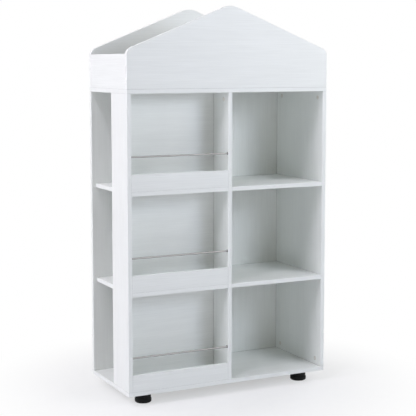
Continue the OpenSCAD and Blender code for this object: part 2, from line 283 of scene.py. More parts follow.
# %% [markdown]
# ## Black plastic and beech
# Feet and rail sockets are moulded in black polypropylene with a fine spark texture, so the
# black has a soft, broken sheen. It is never fully black: dust and gloss lift it a little.
# The dowels are turned beech, bare and dull, with fine streaks along them.

# %% Black plastic and beech
FOOT_GRIT, SOCKET_GRIT, GRIT_DEPTH = 1.2 * MM, 0.6 * MM, 0.06 * MM
CLOUD_SIZE = 18 * MM
MOULDED_ROUGHNESS = (0.5, 0.7)
FIBRE_LENGTH, FIBRE_WIDTH, FIBRE_DEPTH = 12 * MM, 0.6 * MM, 0.05 * MM


def moulded_black(name, grit):
    # The spark eroded mould leaves a grit that scatters the light: a dull, soft black. It is
    # drawn coarser than the real one, about 0.1 mm, so that it shows.
    made, tree, shader = new_material(name, IOR=1.49, Specular_IOR_Level=0.2)
    grain = streaks(tree, "Z", grit, grit, detail=2.0)
    cloud = streaks(tree, "Z", CLOUD_SIZE, CLOUD_SIZE)
    tone = tones(tree, cloud, "#0b0b0c", "#131314")
    surface(tree, shader, tone, grain, GRIT_DEPTH, 0.6, gloss=grain, roughness=MOULDED_ROUGHNESS)
    return made


def turned_beech():
    # Bare turned wood is dull, and its short dark rays give fine flecks along the pin.
    made, tree, shader = new_material("turned_beech", Roughness=0.6)
    fibres = streaks(tree, "X", FIBRE_LENGTH, FIBRE_WIDTH)
    surface(tree, shader, tones(tree, fibres, "#dcbd92", "#c29c6c"), fibres, FIBRE_DEPTH, 0.5)
    return made


FOOT_BLACK = moulded_black("moulded_black_foot", FOOT_GRIT)
SOCKET_BLACK = moulded_black("moulded_black_socket", SOCKET_GRIT)
BEECH = turned_beech()
print("Plastic and wood:", FOOT_BLACK.name, SOCKET_BLACK.name, BEECH.name)

# %% [markdown]
# ## From a measured solid to a finished board
# The frame's boards have the right size and every bore, but their edges are perfectly sharp
# and catch no light. Real edge band is scraped to a radius of about 0.8 mm. So each board is
# copied, its loose triangles are merged and its flat faces joined, and then only the long
# outer edges are bevelled.

# %% Tools for meshes
EDGE_RADIUS = 0.8 * MM
RADIUS_STEPS = 3
SAME_PLACE = 0.01 * MM
ON_FACE = 0.05 * MM
FLAT_ANGLE = math.radians(1)
STRAIGHT = 0.999


def merged_copy(node):
    """A bmesh copy of a frame node, with the corners of its triangles merged."""
    bm = bmesh.new()
    bm.from_mesh(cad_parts[node].data)
    bmesh.ops.remove_doubles(bm, verts=bm.verts, dist=SAME_PLACE)
    return bm


def planes_at(point, low, high):
    """The outer planes of a box that a point lies on."""
    return {
        (axis, side)
        for axis in range(3)
        for side, limit in enumerate((low, high))
        if abs(point[axis] - limit[axis]) < ON_FACE
    }


def shortest(size):
    return min(range(3), key=lambda a: size[a])


def rounded_edges(bm, edges):
    """Gives those edges the small radius of scraped edge band."""
    bmesh.ops.bevel(
        bm, geom=edges, offset=EDGE_RADIUS, segments=RADIUS_STEPS, profile=0.5, affect="EDGES"
    )


def in_scene(name, data):
    """A new object with that data, linked to the scene."""
    made = bpy.data.objects.new(name, data)
    bpy.context.scene.collection.objects.link(made)
    return made


def placed(name, mesh, materials, slot, nodes):
    """An object at the origin that stands for those frame nodes."""
    mesh.name = name
    made = in_scene(name, mesh)
    if materials:
        mesh.materials.clear()
        for material in materials:
            mesh.materials.append(material)
    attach(made, "root")
    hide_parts(*nodes)


print(f"Board edges get a radius of {EDGE_RADIUS / MM:.1f} mm in {RADIUS_STEPS} steps")

# %% [markdown]
# ## Finishes by where a face lies
# A face on one of the board's two wide sides is melamine, a face on its rim is edge band,
# and a face inside is core.

# %% Finish a board
MELAMINE_INDEX, EDGE_INDEX, CORE_INDEX = 0, 1, 2
JUST_PAST_RADIUS = EDGE_RADIUS * 1.01


def sort_finishes(bm, low, high, thin):
    """Gives each face the finish of the place that it lies in."""
    for face in bm.faces:
        middle = face.calc_center_median()
        inset = min(min(middle[a] - low[a], high[a] - middle[a]) for a in range(3))
        on_wide_side = any(a == thin for a, _ in planes_at(middle, low, high))
        if on_wide_side and abs(face.normal[thin]) > STRAIGHT:
            face.material_index = MELAMINE_INDEX
        elif inset < JUST_PAST_RADIUS:
            face.material_index = EDGE_INDEX
        else:
            face.material_index = CORE_INDEX


def finished_board(node, grain):
    low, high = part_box(node)
    thin = shortest(high - low)
    bm = merged_copy(node)
    bmesh.ops.dissolve_limit(bm, angle_limit=FLAT_ANGLE, verts=bm.verts, edges=bm.edges)
    rim = [
        e
        for e in bm.edges
        if len(planes_at(e.verts[0].co, low, high) & planes_at(e.verts[1].co, low, high)) > 1
    ]
    rounded_edges(bm, rim)
    sort_finishes(bm, low, high, thin)
    mesh = bpy.data.meshes.new(node)
    bm.to_mesh(mesh)
    bm.free()
    placed(node + "_faced", mesh, [FACES[grain], EDGE, CORE], "white_board", [node])
    print(f"{node}: {len(rim)} edges rounded, {len(mesh.polygons)} faces, grain {grain}")


print("A face counts as rim within", round(JUST_PAST_RADIUS / MM, 3), "mm of the outside")

# %% [markdown]
# ## The boards
# The grain is upright on the panels and level on shelves, lips and the wall behind the
# books. On the side rails of the roof it runs inward, along the board.

# %% Finish all flat boards
BASE_AND_TOP = ["bottom_board", "top_board"]
UPRIGHT = ["left_side_panel", "middle_divider", "right_side_panel", "back_panel"]
LEVEL = ["book_partition"]
LEVEL += [f"{bay}_shelf_{row}" for bay in ("book", "side", "cube") for row in ("lower", "upper")]
LEVEL += [f"book_lip_{row}" for row in ("lower", "middle", "upper")]
INWARD = ["roof_left_rail", "roof_right_rail"]
for grain, names in (("X", BASE_AND_TOP), ("Z", UPRIGHT), ("X", LEVEL), ("Y", INWARD)):
    for board_name in names:
        finished_board(board_name, grain)

# %% [markdown]
# ## Geometry Nodes: a tree with named inputs
# What repeats, and what follows a rule, is made by a node tree. A small class makes the tree
# with its inputs, and later runs it on a mesh and returns a plain mesh, because neither the
# frame nor an export keeps live modifiers.

# %% Make and run a node tree
SOCKETS = {
    float: "NodeSocketFloat",
    int: "NodeSocketInt",
    bpy.types.Material: "NodeSocketMaterial",
    bpy.types.Object: "NodeSocketObject",
}


class Tree:
    """A geometry node tree. `kinds` gives each named input its type."""

    def __init__(self, name, kinds):
        self.group = bpy.data.node_groups.new(name, "GeometryNodeTree")
        new = self.group.interface.new_socket
        new(name="Geometry", in_out="INPUT", socket_type="NodeSocketGeometry")
        self.names = {
            n: new(name=n, in_out="INPUT", socket_type=SOCKETS[k]).identifier
            for n, k in kinds.items()
        }
        new(name="Geometry", in_out="OUTPUT", socket_type="NodeSocketGeometry")
        self.given = self.group.nodes.new("NodeGroupInput").outputs

    def add(self, kind, settings=None, inputs=None):
        return add(self.group, kind, settings, inputs).outputs

    def math(self, operation, first, second):
        return self.add("ShaderNodeMath", {"operation": operation}, {0: first, 1: second})[0]

    def real(self, instances):
        """The instances as plain geometry."""
        return self.add("GeometryNodeRealizeInstances", inputs={"Geometry": instances})[0]

    def painted(self, geometry, finish):
        inputs = {"Geometry": geometry, "Material": finish}
        return self.add("GeometryNodeSetMaterial", inputs=inputs)[0]

    def end(self, geometry):
        output = self.group.nodes.new("NodeGroupOutput")
        self.group.links.new(geometry, output.inputs[0])

    def run(self, mesh, values):
        """The plain mesh that the tree makes from this mesh with these values."""
        holder = in_scene("holder", mesh)
        modifier = holder.modifiers.new("tree", "NODES")
        modifier.node_group = self.group
        for name, value in values.items():
            modifier[self.names[name]] = value
        graph = bpy.context.evaluated_depsgraph_get()
        made = bpy.data.meshes.new_from_object(holder.evaluated_get(graph))
        bpy.data.objects.remove(holder)
        for empty in [i for i, m in enumerate(made.materials) if m is None][::-1]:
            made.materials.pop(index=empty)
        return made


print("Inputs can be:", [kind.__name__ for kind in SOCKETS])

# %% [markdown]
# ## The gables
# A gable is a wall with a roof line, its eaves rounded by a small radius and its ridge by a
# larger one. That is a rule, so the tree takes the sharp outline of five corners, rounds
# each one by its own radius, fills it, gives it the board's thickness and drills the pockets
# for the cams. The ridge's radius follows from the rounded top that the frame measures.

# %% The tree that makes a gable
POCKET_SIDES = 48
gable_tree = Tree(
    "gable_board",
    {
        "Thickness": float,
        "Arc Steps": int,
        "Pockets": bpy.types.Object,
        "Pocket Radius": float,
        "Pocket Depth": float,
        "Face": bpy.types.Material,
        "Rim": bpy.types.Material,
        "Core": bpy.types.Material,
    },
)


def build_gable_tree(tree):
    given = tree.given
    radius = tree.add("GeometryNodeInputNamedAttribute", inputs={"Name": "corner_radius"})
    outline = tree.add("GeometryNodeMeshToCurve", inputs={"Mesh": given["Geometry"]})
    rounded = tree.add(
        "GeometryNodeFilletCurve",
        {"mode": "POLY"},
        {"Curve": outline[0], "Count": given["Arc Steps"], "Radius": radius["Attribute"]},
    )
    wall = tree.add("GeometryNodeFillCurve", {"mode": "NGONS"}, {"Curve": rounded[0]})
    raised = tree.add(
        "GeometryNodeExtrudeMesh",
        {"mode": "FACES"},
        {"Mesh": wall[0], "Offset Scale": given["Thickness"], "Individual": False},
    )
    under = tree.add("GeometryNodeFlipFaces", inputs={"Mesh": wall[0]})
    shell = add(tree.group, "GeometryNodeJoinGeometry")
    tree.group.links.new(under[0], shell.inputs[0])
    tree.group.links.new(raised["Mesh"], shell.inputs[0])
    closed = tree.add(
        "GeometryNodeMergeByDistance",
        inputs={"Geometry": shell.outputs[0], "Distance": SAME_PLACE},
    )
    drill = tree.add(
        "GeometryNodeMeshCylinder",
        inputs={
            "Vertices": POCKET_SIDES,
            "Radius": given["Pocket Radius"],
            "Depth": tree.math("MULTIPLY", given["Pocket Depth"], 2.0),
        },
    )
    spots_in = tree.add("GeometryNodeObjectInfo", inputs={"Object": given["Pockets"]})
    drills = tree.add(
        "GeometryNodeInstanceOnPoints",
        inputs={"Points": spots_in["Geometry"], "Instance": drill["Mesh"]},
    )
    cut = tree.add(
        "GeometryNodeMeshBoolean",
        {"operation": "DIFFERENCE", "solver": "EXACT"},
        {
            "Mesh 1": tree.painted(closed[0], given["Rim"]),
            "Mesh 2": tree.painted(tree.real(drills[0]), given["Core"]),
        },
    )
    place = tree.add(
        "ShaderNodeSeparateXYZ", inputs={"Vector": tree.add("GeometryNodeInputPosition")[0]}
    )
    half = tree.math("MULTIPLY", given["Thickness"], 0.5)
    from_middle = tree.math("ABSOLUTE", tree.math("SUBTRACT", place["Z"], half), 0.0)
    wide = tree.math("GREATER_THAN", from_middle, tree.math("SUBTRACT", half, ON_FACE))
    faced = tree.add(
        "GeometryNodeSetMaterial",
        inputs={
            "Geometry": tree.real(cut["Mesh"]),
            "Selection": wide,
            "Material": given["Face"],
        },
    )
    tree.end(faced[0])


build_gable_tree(gable_tree)
print("Gable tree:", len(gable_tree.group.nodes), "nodes, inputs", list(gable_tree.names))

# %% [markdown]
# ## Where the cams of a gable sit
# The cams are solids of the frame already, so nothing about them is typed in again. The
# solids of one node are told apart by walking from corner to corner. Each one is then read as
# a spot: where its front is, and which way it faces. The front of a screw is its wider end,
# and the front of a cam is the end with more corners, the one with the slot.

# %% Read spots off the frame
TENTH = 0.1 * MM


def solids(node):
    """The corners of each separate solid of a node."""
    bm = merged_copy(node)
    waiting = set(bm.verts)
    found = []
    while waiting:
        edge_of_walk = [waiting.pop()]
        corners = []
        while edge_of_walk:
            vert = edge_of_walk.pop()
            corners.append(vert.co.copy())
            for edge in vert.link_edges:
                other = edge.other_vert(vert)
                if other in waiting:
                    waiting.remove(other)
                    edge_of_walk.append(other)
        found.append(corners)
    bm.free()
    return sorted(found, key=lambda points: [round(v, 4) for v in points_middle(points)])


def points_box(points):
    """The lowest and the highest corner of the box round the points."""
    return [Vector([pick(p[a] for p in points) for a in range(3)]) for pick in (min, max)]


def points_middle(points):
    low, high = points_box(points)
    return (low + high) / 2


def spot_of(points, pick_axis):
    """The middle of the front face of a solid, and the direction that it faces."""
    low, high = points_box(points)
    middle = (low + high) / 2
    axis = pick_axis(high - low)
    ends = []
    for sign, level in ((-1, low[axis]), (1, high[axis])):
        face = [p for p in points if abs(p[axis] - level) < ON_FACE]
        spot = middle.copy()
        spot[axis] = level
        width = max((p - spot).length for p in face)
        ends.append((round(width / TENTH), len(face), sign, spot))
    _, _, sign, spot = max(ends, key=lambda end: end[:2])
    facing = Vector((0, 0, 0))
    facing[axis] = sign
    return spot, facing


def longest(size):
    return max(range(3), key=lambda a: size[a])


def spots(node, pick_axis):
    return [spot_of(points, pick_axis) for points in solids(node)]


cam_spots = spots("cam_locks", shortest)
print("Cams in the frame:", len(cam_spots))

# %% [markdown]
# ## Finish the gables
# The tree works on a flat outline, so the result is stood up: the outline's height becomes
# Z and its thickness runs towards -Y. The rim between melamine and edge band gets the same
# small radius as the other boards.

# %% Finish both gables
EAVE_HEIGHT = 135 * MM
ROOF_RISE = 160 * MM
EAVE_RADIUS = 30 * MM
CAM_RADIUS, CAM_HEIGHT = 7.5 * MM, 12 * MM
POCKET_PLAY = 0.1 * MM
ARC_STEPS = 24


def points_mesh(name, points, edges=(), vectors=None, numbers=None):
    """A mesh of bare points, with one attribute of vectors or of numbers if asked."""
    mesh = bpy.data.meshes.new(name)
    mesh.from_pydata([tuple(p) for p in points], list(edges), [])
    for given, kind, field in ((vectors, "FLOAT_VECTOR", "vector"), (numbers, "FLOAT", "value")):
        if given:
            attribute_name, values = given
            attribute = mesh.attributes.new(attribute_name, kind, "POINT")
            for item, value in zip(attribute.data, values):
                setattr(item, field, value)
    return mesh


def round_rim(bm, face_index, rim_index):
    """Rounds the edges between the two finishes and says how many there were."""
    rim = [
        e
        for e in bm.edges
        if {f.material_index for f in e.link_faces} == {face_index, rim_index}
    ]
    rounded_edges(bm, rim)
    return len(rim)


def finished_gable(node):
    low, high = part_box(node)
    half = (high.x - low.x) / 2
    thickness = high.y - low.y
    slope = math.atan2(ROOF_RISE, half)
    sharp_top = EAVE_HEIGHT + ROOF_RISE
    ridge_radius = (sharp_top - (high.z - low.z)) / (1 / math.cos(slope) - 1)
    corners = [
        (-half, 0, 0),
        (half, 0, 0),
        (half, EAVE_HEIGHT, 0),
        (0, sharp_top, 0),
        (-half, EAVE_HEIGHT, 0),
    ]
    radii = [0, 0, EAVE_RADIUS, ridge_radius, EAVE_RADIUS]
    ring = [(i, (i + 1) % len(corners)) for i in range(len(corners))]
    outline = points_mesh(node, corners, ring, numbers=("corner_radius", radii))
    stand = Vector(((low.x + high.x) / 2, high.y, low.z))
    sides = {(1, 0), (1, 1)}
    own = [s for s, _ in cam_spots if s.z > low.z and sides & planes_at(s, low, high)]
    flat = [(s.x - stand.x, s.z - stand.z, stand.y - s.y) for s in own]
    pockets = in_scene("pockets", points_mesh("pockets", flat))
    mesh = gable_tree.run(
        outline,
        {
            "Thickness": thickness,
            "Arc Steps": ARC_STEPS,
            "Pockets": pockets,
            "Pocket Radius": CAM_RADIUS + POCKET_PLAY,
            "Pocket Depth": CAM_HEIGHT + POCKET_PLAY,
            "Face": FACES["X"],
            "Rim": EDGE,
            "Core": CORE,
        },
    )
    bpy.data.objects.remove(pockets)
    index = {m.name: i for i, m in enumerate(mesh.materials)}
    bm = bmesh.new()
    bm.from_mesh(mesh)
    rounded = round_rim(bm, index[FACES["X"].name], index[EDGE.name])
    for vert in bm.verts:
        x, height, depth = vert.co
        vert.co = (stand.x + x, stand.y - depth, stand.z + height)
    bmesh.ops.recalc_face_normals(bm, faces=bm.faces)
    bm.to_mesh(mesh)
    bm.free()
    placed(node + "_faced", mesh, None, "white_board", [node])
    print(f"{node}: ridge radius {ridge_radius / MM:.1f} mm, {rounded} rim edges")
    print(f"{node}: {len(own)} cam pockets drilled")


finished_gable("front_gable")
finished_gable("back_gable")

# %% [markdown]
# ## Turned parts
# Feet, rods, sockets, screws and dowels are all round, so one lathe serves them all: half of
# a section is turned about the Z axis. `closed` joins the end of the section to its start,
# for a part with a hole through it. `flute` pulls in every second column, which gives a
# dowel the grooves that let the glue out.

# %% A lathe
CREASE = math.radians(35)


def lathe(name, section, sides, closed=False, flute=0.0):
    """A mesh turned from (radius, height) points. A radius of 0 is a point on the axis."""
    bm = bmesh.new()
    rings = []
    for radius, height in section:
        if radius == 0:
            rings.append([bm.verts.new((0, 0, height))] * sides)
            continue
        ring = []
        for i in range(sides):
            angle = 2 * math.pi * i / sides
            reach = radius - flute * (i % 2)
            ring.append(bm.verts.new((reach * math.cos(angle), reach * math.sin(angle), height)))
        rings.append(ring)
    pairs = list(zip(rings, rings[1:] + rings[:1]))
    for upper, lower in pairs if closed else pairs[:-1]:
        for i in range(sides):
            j = (i + 1) % sides
            corners = list(dict.fromkeys((upper[i], upper[j], lower[j], lower[i])))
            if len(corners) > 2:
                bm.faces.new(corners)
    bmesh.ops.recalc_face_normals(bm, faces=bm.faces)
    mesh = bpy.data.meshes.new(name)
    bm.to_mesh(mesh)
    bm.free()
    mesh.shade_smooth()
    mesh.set_sharp_from_angle(angle=CREASE)
    return mesh


def arc(centre, radius, start, end, steps):
    """Points of an arc in a section, from one angle in degrees to another."""
    angles = [math.radians(start + (end - start) * i / steps) for i in range(steps + 1)]
    return [(centre[0] + radius * math.cos(a), centre[1] + radius * math.sin(a)) for a in angles]


def pin(radius, length, chamfer):
    """The section of a plain pin with chamfered ends that hangs down from the origin."""
    return [
        (0, 0),
        (radius - chamfer, 0),
        (radius, -chamfer),
        (radius, chamfer - length),
        (radius - chamfer, -length),
        (0, -length),
    ]


print("The lathe keeps corners sharp from", round(math.degrees(CREASE)), "degrees on")

# %% [markdown]
# ## The feet
# A foot is a moulded puck: a pad with a rounded lower edge so that it slides over a carpet,
# a groove where the mould parts, and a neck with shallow grip rings. The cup below takes the
# screw. Small radii on the corners keep the black plastic from looking like a cut-out.

# %% Four feet
PAD_RADIUS, PAD_HEIGHT, PAD_ROUND = 30 * MM, 14 * MM, 6 * MM
NECK_RADIUS, GROOVE_DEPTH, GROOVE_HEIGHT = 28 * MM, 2 * MM, 2 * MM
FOOT_HEIGHT = 40 * MM
CUP_RADIUS, CUP_HEIGHT, SCREW_HOLE_RADIUS = 8.1 * MM, 20 * MM, 2.6 * MM
SOFT = 0.8 * MM
RING_DEPTH, RING_HEIGHT, RING_STEP = 0.5 * MM, 1.2 * MM, 6 * MM
FOOT_SIDES, PAD_ROUND_STEPS = 96, 8


def foot_section():
    """Half a section of a foot: round the outside from the floor up, and back down the hole."""
    points = [(CUP_RADIUS + SOFT, 0)]
    points += arc((PAD_RADIUS - PAD_ROUND, PAD_ROUND), PAD_ROUND, -90, 0, PAD_ROUND_STEPS)
    points += arc((PAD_RADIUS - SOFT, PAD_HEIGHT - SOFT), SOFT, 0, 90, RADIUS_STEPS)
    groove = NECK_RADIUS - GROOVE_DEPTH
    neck_start = PAD_HEIGHT + GROOVE_HEIGHT
    points += [(groove, PAD_HEIGHT), (groove, neck_start)]
    points += arc((NECK_RADIUS - SOFT, neck_start + SOFT), SOFT, -90, 0, RADIUS_STEPS)
    ring = neck_start + RING_STEP
    while ring + RING_STEP < FOOT_HEIGHT:
        middle = NECK_RADIUS - RING_DEPTH
        points += [(NECK_RADIUS, ring - RING_HEIGHT), (middle, ring - RING_HEIGHT / 2)]
        points += [(middle, ring + RING_HEIGHT / 2), (NECK_RADIUS, ring + RING_HEIGHT)]
        ring += RING_STEP
    points += arc((NECK_RADIUS - SOFT, FOOT_HEIGHT - SOFT), SOFT, 0, 90, RADIUS_STEPS)
    points += [(SCREW_HOLE_RADIUS, FOOT_HEIGHT), (SCREW_HOLE_RADIUS, CUP_HEIGHT)]
    points += [(CUP_RADIUS, CUP_HEIGHT), (CUP_RADIUS, SOFT)]
    return points


for foot_name in ("front_left_foot", "front_right_foot", "back_left_foot", "back_right_foot"):
    foot_low, foot_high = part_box(foot_name)
    foot_mesh = lathe(foot_name, foot_section(), FOOT_SIDES, closed=True)
    middle = (foot_low + foot_high) / 2
    foot_mesh.transform(Matrix.Translation((middle.x, middle.y, foot_low.z)))
    placed(foot_name + "_moulded", foot_mesh, [FOOT_BLACK], "foot_black", [foot_name])
print("Feet:", len(foot_section()), "points in the section")

# %% [markdown]
# ## The rails
# Each rail is a drawn rod, cut to length and held in a socket at each end. The ends have
# a small chamfer from the saw's deburring. The lathe turns about Z, so the rod is laid along
# X afterwards.

# %% Three rails
ROD_CHAMFER = 0.5 * MM
ROD_SIDES = 48
for rod_name in ("book_rail_lower", "book_rail_middle", "book_rail_upper"):
    rod_low, rod_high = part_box(rod_name)
    length = rod_high.x - rod_low.x
    radius = (rod_high.z - rod_low.z) / 2
    rod_mesh = lathe(rod_name, pin(radius, length, ROD_CHAMFER), ROD_SIDES)
    axis_point = (rod_low + rod_high) / 2
    laid = Matrix.Rotation(math.pi / 2, 4, "Y")
    rod_mesh.transform(Matrix.Translation((rod_high.x, axis_point.y, axis_point.z)) @ laid)
    placed(rod_name + "_plated", rod_mesh, [NICKEL], "rail_steel", [rod_name])
    print(f"{rod_name}: {length / MM:.0f} mm long, {2 * radius / MM:.0f} mm thick")

# %% [markdown]
# ## Small parts by Geometry Nodes
# There are 176 small parts, so each kind is made once and a tree sets it out. The first tree
# cuts the cross recess, and on a cam the arrow that shows which way it opens. The second one
# puts a part on every spot, turns it to face out and gives each its own turn about its axis,
# because nobody stops a screwdriver at the same angle twice. The seeds are fixed, so the
# picture stays the same.

# %% The trees for recesses and for setting out
FULL_TURN = 2 * math.pi
recess_sizes = dict.fromkeys(("Arm Length", "Arm Width", "Depth", "Arrow", "Arrow Place"), float)
recess_tree = Tree("cross_recess", recess_sizes | {"Finish": bpy.types.Material})
setting_tree = Tree(
    "setting_out",
    {"Part": bpy.types.Object, "Turn": float, "Seed": int, "Finish": bpy.types.Material},
)


def build_recess_tree(tree):
    given = tree.given
    twice = tree.math("MULTIPLY", given["Depth"], 2.0)
    cutters = []
    for across, along in (("Arm Length", "Arm Width"), ("Arm Width", "Arm Length")):
        size = tree.add(
            "ShaderNodeCombineXYZ", inputs={"X": given[across], "Y": given[along], "Z": twice}
        )
        cutters.append(tree.add("GeometryNodeMeshCube", inputs={"Size": size[0]})["Mesh"])
    wedge = tree.add(
        "GeometryNodeMeshCylinder",
        inputs={"Vertices": 3, "Radius": given["Arrow"], "Depth": given["Depth"]},
    )
    out = tree.add("ShaderNodeCombineXYZ", inputs={"X": given["Arrow Place"]})
    moved = tree.add(
        "GeometryNodeTransform", inputs={"Geometry": wedge["Mesh"], "Translation": out[0]}
    )
    wanted = tree.math("GREATER_THAN", given["Arrow"], 0.0)
    shown = tree.add(
        "GeometryNodeSwitch", {"input_type": "GEOMETRY"}, {"Switch": wanted, "True": moved[0]}
    )
    cutters.append(shown[0])
    cut = add(
        tree.group,
        "GeometryNodeMeshBoolean",
        {"operation": "DIFFERENCE", "solver": "EXACT"},
        {"Mesh 1": given["Geometry"]},
    )
    for cutter in cutters:
        tree.group.links.new(cutter, cut.inputs["Mesh 2"])
    tree.end(tree.painted(tree.real(cut.outputs["Mesh"]), given["Finish"]))


def build_setting_tree(tree):
    given = tree.given
    facing = tree.add(
        "GeometryNodeInputNamedAttribute", {"data_type": "FLOAT_VECTOR"}, {"Name": "facing"}
    )
    turn = tree.add(
        "FunctionNodeRandomValue",
        {"data_type": "FLOAT"},
        {2: 0.0, 3: given["Turn"], "Seed": given["Seed"]},
    )
    about_axis = tree.add("ShaderNodeCombineXYZ", inputs={"Z": turn[1]})
    start = tree.add("FunctionNodeEulerToRotation", inputs={"Euler": about_axis[0]})
    aimed = tree.add(
        "FunctionNodeAlignRotationToVector",
        {"axis": "Z"},
        {"Rotation": start[0], "Vector": facing["Attribute"]},
    )
    part = tree.add("GeometryNodeObjectInfo", inputs={"Object": given["Part"]})
    set_out = tree.add(
        "GeometryNodeInstanceOnPoints",
        inputs={"Points": given["Geometry"], "Instance": part["Geometry"], "Rotation": aimed[0]},
    )
    tree.end(tree.painted(tree.real(set_out[0]), given["Finish"]))


build_recess_tree(recess_tree)
build_setting_tree(setting_tree)


def set_out(node, part, pick_axis, finish, slot, seed, turn=FULL_TURN):
    """Puts the part on every solid of a node, and lets it stand for that node."""
    places = spots(node, pick_axis)
    bare = points_mesh(node, [s for s, _ in places], vectors=("facing", [f for _, f in places]))
    pattern = in_scene("pattern", part)
    mesh = setting_tree.run(bare, {"Part": pattern, "Turn": turn, "Seed": seed, "Finish": finish})
    bpy.data.objects.remove(pattern)
    placed(node + "_set", mesh, None, slot, [node])
    print(f"{node}: {len(places)} parts, {len(mesh.polygons)} faces")


print("Trees:", recess_tree.group.name, "and", setting_tree.group.name)

# %% [markdown]
# ## Cams
# A cam is a zinc disc, 15 mm across, that is turned with a cross driver to pull the head of a
# bolt towards it. It sits flush in a pocket near the edge of a board. The small pale dots
# near the corners of the bays are these.

# %% Set out the cams
CAM_CHAMFER = 0.6 * MM
CAM_SIDES = 32
cam_disc = lathe("cam_disc", pin(CAM_RADIUS, CAM_HEIGHT, CAM_CHAMFER), CAM_SIDES)
cross = {"Arm Length": 9 * MM, "Arm Width": 1.6 * MM, "Depth": 2 * MM, "Finish": ZINC_CAST}
cam_part = recess_tree.run(cam_disc, cross | {"Arrow": 1.1 * MM, "Arrow Place": 5.8 * MM})
set_out("cam_locks", cam_part, shortest, ZINC_CAST, "cam_zinc", seed=3)

# %% [markdown]
# ## Screws
# The back panel is held by countersunk screws, so their heads end flush with it. Each foot
# has one screw with a flat head in its cup. A thread is a helix, but at this size it shows
# as fine rings, and rings can be turned on the lathe.

# %% Set out the screws
PITCH = 2 * MM
SCREW_THREAD_DEPTH, BOLT_THREAD_DEPTH = 0.4 * MM, 0.7 * MM
SCREW_SIDES = 16


def thread(radius, start, end, depth):
    """Section points of a thread drawn as rings, from the height start down to end."""
    rings = max(1, round((start - end) / PITCH))
    step = (start - end) / rings
    points = []
    for i in range(rings):
        points.append((radius - depth, start - step * i))
        points.append((radius, start - step * (i + 0.5)))
    return points + [(radius - depth, end)]


HEAD_R, HEAD_H, SHANK_R, SCREW_LENGTH = 4 * MM, 3 * MM, 2 * MM, 40 * MM
HEAD_EASE, SCREW_NECK, SCREW_TIP = 0.2 * MM, 6 * MM, 4 * MM
thread_end = SCREW_TIP - SCREW_LENGTH
screw_thread = thread(SHANK_R, -HEAD_H - SCREW_NECK, thread_end, SCREW_THREAD_DEPTH)
back_screw = lathe(
    "back_screw",
    [(0, 0), (HEAD_R - HEAD_EASE, 0), (HEAD_R, -HEAD_EASE), (SHANK_R, -HEAD_H)]
    + screw_thread
    + [(0, -SCREW_LENGTH)],
    SCREW_SIDES,
)
back_screw_part = recess_tree.run(
    back_screw,
    {"Arm Length": 4.8 * MM, "Arm Width": 0.9 * MM, "Depth": 1.6 * MM, "Finish": ZINC_PLATE},
)
set_out("back_screws", back_screw_part, longest, ZINC_PLATE, "plated_steel", seed=5)

FOOT_HEAD_R, FOOT_HEAD_H, FOOT_SHANK_R, FOOT_SCREW_LENGTH = 5 * MM, 3.5 * MM, 2.5 * MM, 35.5 * MM
FOOT_HEAD_ROUND, FOOT_NECK, FOOT_TIP = 0.6 * MM, 4 * MM, 3 * MM
FOOT_SCREW_SIDES = 20
thread_end = FOOT_TIP - FOOT_SCREW_LENGTH
foot_thread = thread(FOOT_SHANK_R, -FOOT_HEAD_H - FOOT_NECK, thread_end, SCREW_THREAD_DEPTH)
foot_screw = lathe(
    "foot_screw",
    [(0, 0)]
    + arc((FOOT_HEAD_R - FOOT_HEAD_ROUND, -FOOT_HEAD_ROUND), FOOT_HEAD_ROUND, 90, 0, RADIUS_STEPS)
    + [(FOOT_HEAD_R, -FOOT_HEAD_H), (FOOT_SHANK_R, -FOOT_HEAD_H)]
    + foot_thread
    + [(0, -FOOT_SCREW_LENGTH)],
    FOOT_SCREW_SIDES,
)
foot_screw_part = recess_tree.run(
    foot_screw,
    {"Arm Length": 6 * MM, "Arm Width": 1.2 * MM, "Depth": 2 * MM, "Finish": ZINC_PLATE},
)
set_out("foot_screws", foot_screw_part, longest, ZINC_PLATE, "plated_steel", seed=7)

# %% [markdown]
# ## Bolts for the cams
# A bolt ends in a small ball-like head that the cam grips. One kind is screwed into the face
# of a board. The other has a head at both ends and runs through the divider.

# %% Set out the bolts
BOLT_HEAD_R, BOLT_HEAD_H, BOLT_SHANK_R, THREAD_R = 3.2 * MM, 3 * MM, 2.5 * MM, 3 * MM
BOLT_LENGTH, BOLT_THREAD, BOLT_NECK = 35.5 * MM, 10 * MM, 1 * MM
BALL = [
    (0, 0),
    (BOLT_HEAD_R * 0.7, 0),
    (BOLT_HEAD_R, -BOLT_HEAD_H * 0.3),
    (BOLT_HEAD_R, -BOLT_HEAD_H * 0.7),
    (BOLT_SHANK_R * 0.9, -BOLT_HEAD_H),
]
cam_bolt = lathe(
    "cam_bolt",
    BALL
    + [(BOLT_SHANK_R, -BOLT_HEAD_H - BOLT_NECK), (BOLT_SHANK_R, BOLT_THREAD - BOLT_LENGTH)]
    + thread(THREAD_R, BOLT_THREAD - BOLT_LENGTH, -BOLT_LENGTH, BOLT_THREAD_DEPTH)
    + [(0, -BOLT_LENGTH)],
    SCREW_SIDES,
)
set_out("cam_bolts", cam_bolt, longest, ZINC_PLATE, "plated_steel", seed=11)

TWIN_LENGTH, COLLAR_R = 66 * MM, 3.5 * MM
COLLAR_START, COLLAR_EASE = 25.5 * MM, 0.4 * MM
COLLAR_END = TWIN_LENGTH - COLLAR_START
twin_bolt = lathe(
    "twin_bolt",
    BALL
    + [(BOLT_SHANK_R, -BOLT_HEAD_H - BOLT_NECK), (BOLT_SHANK_R, -COLLAR_START)]
    + [(COLLAR_R, -COLLAR_START - COLLAR_EASE), (COLLAR_R, COLLAR_EASE - COLLAR_END)]
    + [(BOLT_SHANK_R, -COLLAR_END)]
    + [(radius, -TWIN_LENGTH - height) for radius, height in reversed(BALL)],
    SCREW_SIDES,
)
set_out("divider_bolts", twin_bolt, longest, ZINC_PLATE, "plated_steel", seed=13)

